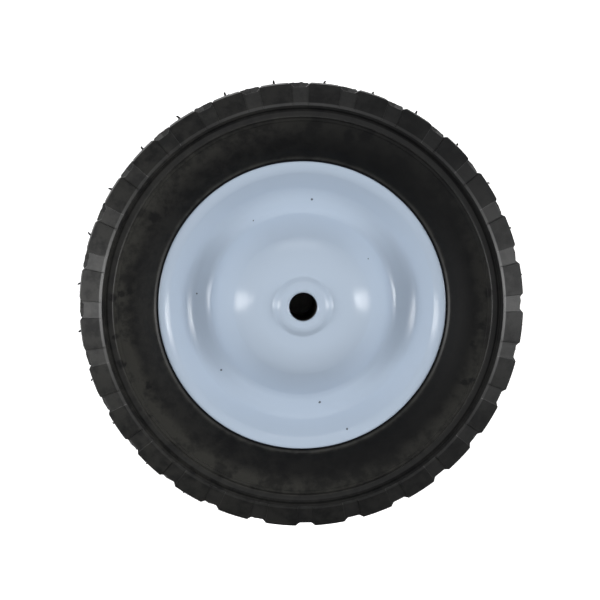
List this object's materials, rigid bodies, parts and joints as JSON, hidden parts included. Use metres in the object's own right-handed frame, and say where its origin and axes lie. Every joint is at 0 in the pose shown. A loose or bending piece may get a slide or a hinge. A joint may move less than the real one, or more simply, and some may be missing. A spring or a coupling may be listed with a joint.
{
  "type": "steel wheel",
  "caption": "Small machine wheel: pressed and painted steel discs with a raised hub boss and a plain axle bore, in a black rubber tyre with lugged tread and thin vent nibs.",
  "frame": {"origin": "the wheel's centre, on the bore's axis and halfway through the wheel's thickness", "axes": "+Z along the bore out of the front face, +Y up in the picture, +X to the picture's right; at rest the wheel lies flat on its rear shoulder ring, as pictured"},
  "size_m": [0.206, 0.206, 0.0444],
  "materials": {
    "tyre": "matt moulded rubber, dusty on the sidewall",
    "disc_paint": "satin silver paint with a few dark specks",
    "sleeve_steel": "plain drawn tube, dull and oiled"
  },
  "bodies": {
    "root": {"tyre": "tyre", "front_disc": "disc_paint", "rear_disc": "disc_paint", "hub_sleeve": "sleeve_steel"}
  },
  "joints": []
}
